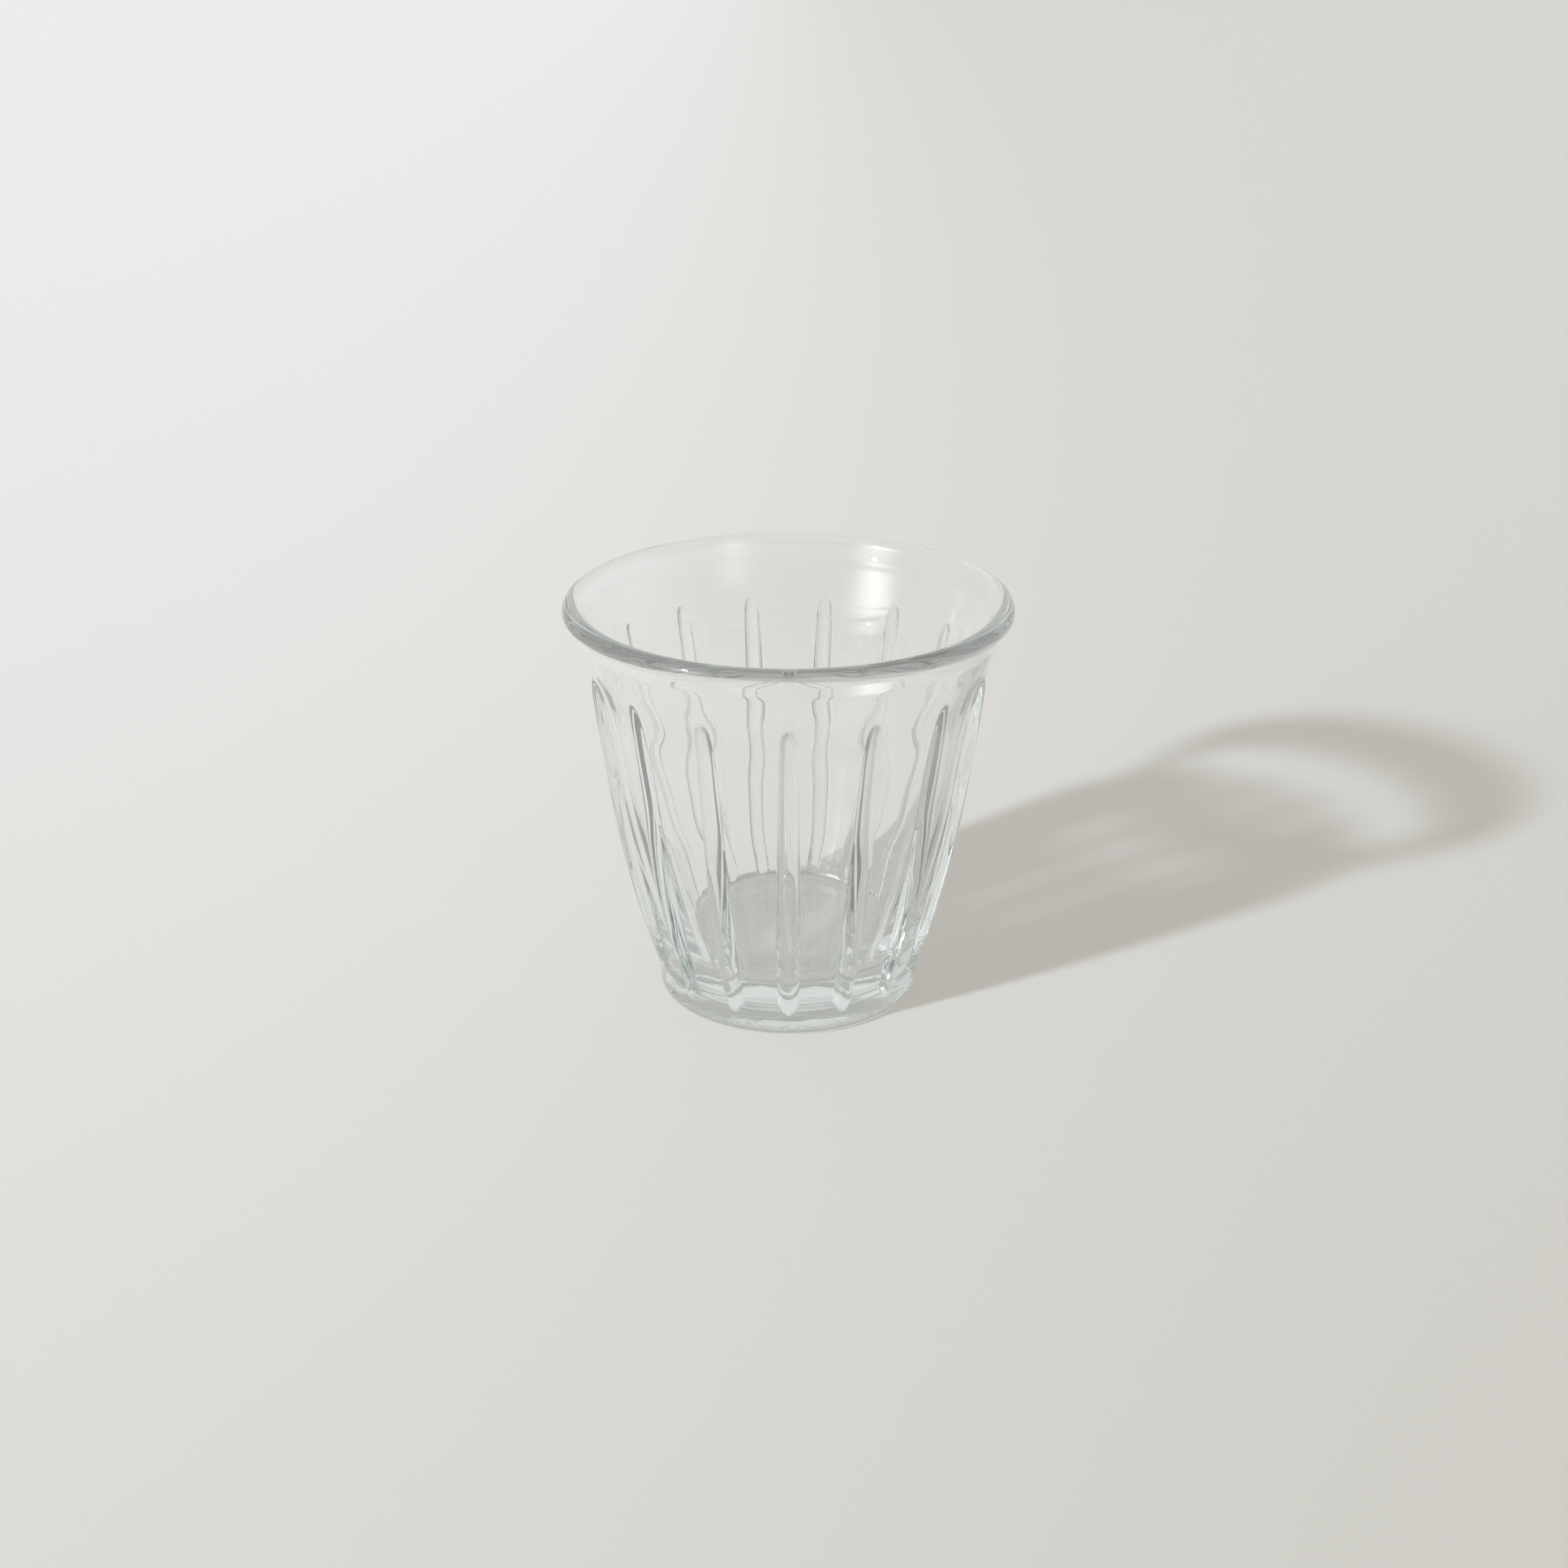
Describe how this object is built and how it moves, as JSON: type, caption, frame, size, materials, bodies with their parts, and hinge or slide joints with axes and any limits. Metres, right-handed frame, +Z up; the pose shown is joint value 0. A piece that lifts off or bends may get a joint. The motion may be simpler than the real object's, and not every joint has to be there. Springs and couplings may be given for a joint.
{
  "type": "juice glass",
  "caption": "Short clear-glass juice tumbler with narrow upright ribs, a thick base on a plain foot and a flared rounded lip.",
  "frame": {"origin": "centre of the foot, on the plane that the glass stands on", "axes": "+Z up along the glass's axis; one rib's middle faces -Y, towards the picture's camera"},
  "size_m": [0.075, 0.075, 0.0708],
  "materials": {
    "clear_glass": "fire-polished clear soda-lime glass with a faint cool tint"
  },
  "bodies": {
    "root": {"tumbler": "clear_glass"}
  },
  "joints": []
}
